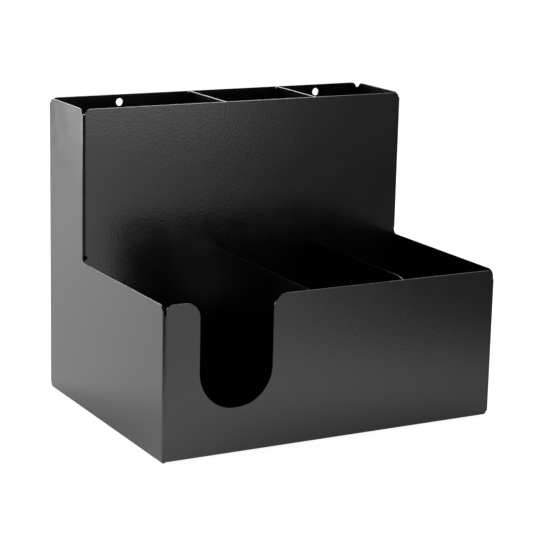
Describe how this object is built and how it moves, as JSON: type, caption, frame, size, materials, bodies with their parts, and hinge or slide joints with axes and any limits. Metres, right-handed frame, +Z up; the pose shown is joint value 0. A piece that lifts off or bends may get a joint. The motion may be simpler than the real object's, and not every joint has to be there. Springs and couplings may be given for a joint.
{
  "type": "coffee station organizer",
  "caption": "Stepped black steel countertop organizer with open bays at the front and in a tall rear bin, a rounded finger cut in the low front panel and holes for hanging.",
  "frame": {"origin": "middle of the footprint, on the surface that the organizer stands on", "axes": "+X to the right of someone facing the finger cut, +Y to the back wall, +Z up"},
  "size_m": [0.305, 0.231, 0.254],
  "materials": {
    "coated_sheet": "semi-gloss black powder coat with a fine orange peel",
    "coated_weld": "semi-gloss black powder coat over ground weld"
  },
  "bodies": {
    "root": {"main_wrap": "coated_sheet", "left_side": "coated_sheet", "right_side": "coated_sheet", "step_wall": "coated_sheet", "front_left_divider": "coated_sheet", "front_right_divider": "coated_sheet", "rear_left_divider": "coated_sheet", "rear_right_divider": "coated_sheet", "front_left_corner_weld": "coated_weld", "front_right_corner_weld": "coated_weld", "step_left_corner_weld": "coated_weld", "step_right_corner_weld": "coated_weld", "rear_left_corner_weld": "coated_weld", "rear_right_corner_weld": "coated_weld", "front_left_divider_tacks": "coated_weld", "front_right_divider_tacks": "coated_weld", "rear_left_divider_welds": "coated_weld", "rear_right_divider_welds": "coated_weld", "left_floor_welds": "coated_weld", "right_floor_welds": "coated_weld", "step_wall_welds": "coated_weld"}
  },
  "joints": []
}
